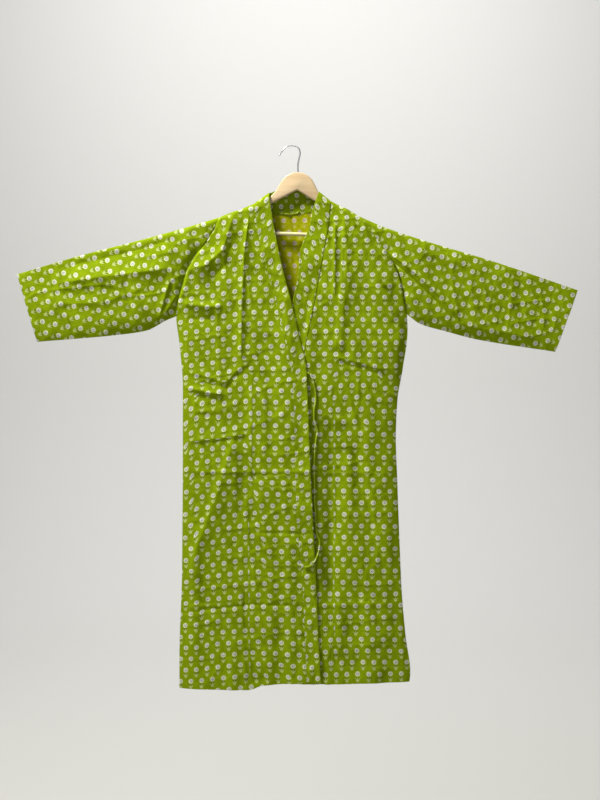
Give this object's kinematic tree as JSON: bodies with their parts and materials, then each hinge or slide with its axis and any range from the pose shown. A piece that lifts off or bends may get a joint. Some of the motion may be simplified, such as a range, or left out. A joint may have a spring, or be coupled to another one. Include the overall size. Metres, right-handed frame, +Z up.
{
  "type": "kimono robe on a wooden hanger",
  "caption": "Long-sleeved kimono robe in flower-print cloth with a banded wrap front and narrow tie, hung flat on a wooden hanger with a wire hook.",
  "frame": {"origin": "inner underside of the hook's top, where a rail or peg carries the hanger", "axes": "+X across the garment to the viewer's right, +Z up, the front faces -Y"},
  "size_m": [1.4054, 0.0455, 1.363],
  "materials": {
    "printed_cloth": "matt printed plain weave",
    "beech_wood": "clear satin lacquer",
    "chromed_wire": "bright plated"
  },
  "bodies": {
    "root": {"back": "printed_cloth", "front_outer": "printed_cloth", "front_inner": "printed_cloth", "band_outer": "printed_cloth", "band_inner": "printed_cloth", "band_neck": "printed_cloth", "sleeve_left": "printed_cloth", "sleeve_right": "printed_cloth", "tie": "printed_cloth", "hanging_loop": "printed_cloth", "hanger_wood": "beech_wood", "hanger_bar": "beech_wood", "hanger_hook": "chromed_wire"}
  },
  "joints": []
}
